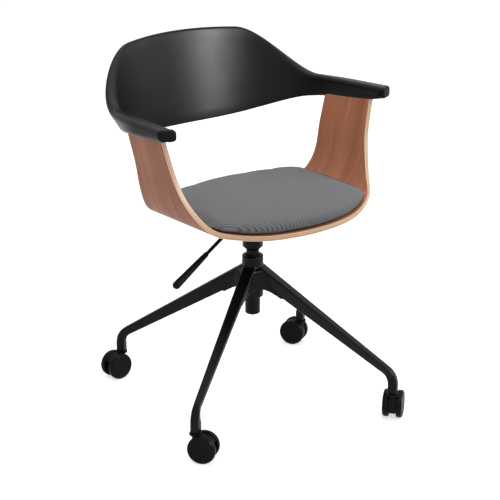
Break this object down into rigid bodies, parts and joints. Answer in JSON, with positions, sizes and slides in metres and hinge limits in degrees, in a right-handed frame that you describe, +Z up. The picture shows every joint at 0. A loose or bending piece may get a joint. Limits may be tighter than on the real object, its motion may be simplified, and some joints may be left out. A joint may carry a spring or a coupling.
{
  "type": "swivel armchair",
  "caption": "Swivel armchair: bent plywood shell, padded seat, black moulded back running into the arms, gas lift and a four-leg base on twin-wheel casters.",
  "frame": {"origin": "on the floor, on the swivel axis under the column", "axes": "+Z up; the sitter faces -Y, so the front of the seat is at -Y and the sitter's right hand is at -X"},
  "size_m": [0.6138, 0.605, 0.782],
  "materials": {
    "black_cast": "satin black powder coat on die-cast aluminium",
    "black_steel": "satin black powder coat on steel",
    "bright_steel": "turned and ground steel",
    "black_plastic": "fine-textured black nylon",
    "wheel_plastic": "smooth black nylon",
    "pale_acetal": "natural acetal",
    "black_rubber": "soft rubber",
    "walnut_ply": "clear-lacquered brown veneer, pale ply edges",
    "plain_board": "unfinished birch",
    "grey_weave": "grey woven cloth",
    "black_moulding": "satin black integral-skin moulding"
  },
  "bodies": {
    "base": {"base_casting": "black_cast", "column_tube": "black_steel", "guide_bush": "black_plastic", "thrust_bearing": "bright_steel", "stem_sleeves": "black_plastic"},
    "post": {"piston_rod": "bright_steel", "piston": "bright_steel", "rod_clip": "bright_steel", "bump_stop": "black_rubber"},
    "seat": {"gas_cylinder": "black_steel", "cylinder_gland": "pale_acetal", "seat_plate": "black_steel", "lever_pin": "bright_steel", "plywood_shell": "walnut_ply", "seat_cushion": "grey_weave", "cushion_board": "plain_board", "tee_nuts": "bright_steel", "seat_bolts": "bright_steel", "back_and_arms": "black_moulding", "arm_pins": "plain_board", "arm_caps": "black_moulding"},
    "lever": {"lever_rod": "black_steel", "lever_grip": "black_plastic"},
    "valve": {"valve_pin": "bright_steel"},
    "caster_1": {"caster_1_body": "black_plastic", "caster_1_stem": "bright_steel", "caster_1_axle": "bright_steel"},
    "wheel_1a": {"caster_1_wheel_a": "wheel_plastic"},
    "wheel_1b": {"caster_1_wheel_b": "wheel_plastic"},
    "caster_2": {"caster_2_body": "black_plastic", "caster_2_stem": "bright_steel", "caster_2_axle": "bright_steel"},
    "wheel_2a": {"caster_2_wheel_a": "wheel_plastic"},
    "wheel_2b": {"caster_2_wheel_b": "wheel_plastic"},
    "caster_3": {"caster_3_body": "black_plastic", "caster_3_stem": "bright_steel", "caster_3_axle": "bright_steel"},
    "wheel_3a": {"caster_3_wheel_a": "wheel_plastic"},
    "wheel_3b": {"caster_3_wheel_b": "wheel_plastic"},
    "caster_4": {"caster_4_body": "black_plastic", "caster_4_stem": "bright_steel", "caster_4_axle": "bright_steel"},
    "wheel_4a": {"caster_4_wheel_a": "wheel_plastic"},
    "wheel_4b": {"caster_4_wheel_b": "wheel_plastic"}
  },
  "joints": [
    {"name": "seat_swivel", "type": "hinge", "parent": "base", "child": "post", "pos_m": [0, 0, 0.21], "axis": [0, 0, 1], "continuous": true},
    {"name": "seat_lift", "type": "slide", "parent": "post", "child": "seat", "axis": [0, 0, 1], "range_m": [0, 0.065]},
    {"name": "lever_lift", "type": "hinge", "parent": "seat", "child": "lever", "pos_m": [-0.034, 0, 0.4227], "axis": [0, 1, 0], "range_deg": [0, 6], "stiffness_Nm_per_rad": 2, "springref_deg": -5.73},
    {"name": "valve_press", "type": "slide", "parent": "seat", "child": "valve", "axis": [0, 0, -1], "range_m": [0, 0.0036]},
    {"name": "caster_1_swivel", "type": "hinge", "parent": "base", "child": "caster_1", "pos_m": [-0.1609, 0.27869, 0.06], "axis": [0, 0, 1], "continuous": true},
    {"name": "wheel_1a_roll", "type": "hinge", "parent": "caster_1", "child": "wheel_1a", "pos_m": [-0.17736, 0.27754, 0.03], "axis": [0.0698, -0.9976, 0], "continuous": true},
    {"name": "wheel_1b_roll", "type": "hinge", "parent": "caster_1", "child": "wheel_1b", "pos_m": [-0.17736, 0.27754, 0.03], "axis": [0.0698, -0.9976, 0], "continuous": true},
    {"name": "caster_2_swivel", "type": "hinge", "parent": "base", "child": "caster_2", "pos_m": [-0.27869, -0.1609, 0.06], "axis": [0, 0, 1], "continuous": true},
    {"name": "wheel_2a_roll", "type": "hinge", "parent": "caster_2", "child": "wheel_2a", "pos_m": [-0.26922, -0.17442, 0.03], "axis": [0.8192, 0.5736, 0], "continuous": true},
    {"name": "wheel_2b_roll", "type": "hinge", "parent": "caster_2", "child": "wheel_2b", "pos_m": [-0.26922, -0.17442, 0.03], "axis": [0.8192, 0.5736, 0], "continuous": true},
    {"name": "caster_3_swivel", "type": "hinge", "parent": "base", "child": "caster_3", "pos_m": [0.1609, -0.27869, 0.06], "axis": [0, 0, 1], "continuous": true},
    {"name": "wheel_3a_roll", "type": "hinge", "parent": "caster_3", "child": "wheel_3a", "pos_m": [0.1739, -0.26853, 0.03], "axis": [-0.6157, 0.788, 0], "continuous": true},
    {"name": "wheel_3b_roll", "type": "hinge", "parent": "caster_3", "child": "wheel_3b", "pos_m": [0.1739, -0.26853, 0.03], "axis": [-0.6157, 0.788, 0], "continuous": true},
    {"name": "caster_4_swivel", "type": "hinge", "parent": "base", "child": "caster_4", "pos_m": [0.27869, 0.1609, 0.06], "axis": [0, 0, 1], "continuous": true},
    {"name": "wheel_4a_roll", "type": "hinge", "parent": "caster_4", "child": "wheel_4a", "pos_m": [0.27081, 0.1754, 0.03], "axis": [-0.8788, -0.4772, 0], "continuous": true},
    {"name": "wheel_4b_roll", "type": "hinge", "parent": "caster_4", "child": "wheel_4b", "pos_m": [0.27081, 0.1754, 0.03], "axis": [-0.8788, -0.4772, 0], "continuous": true}
  ],
  "couplings": [
    {"joint": "valve_press", "follows": "lever_lift", "m_per_rad": 0.034}
  ]
}
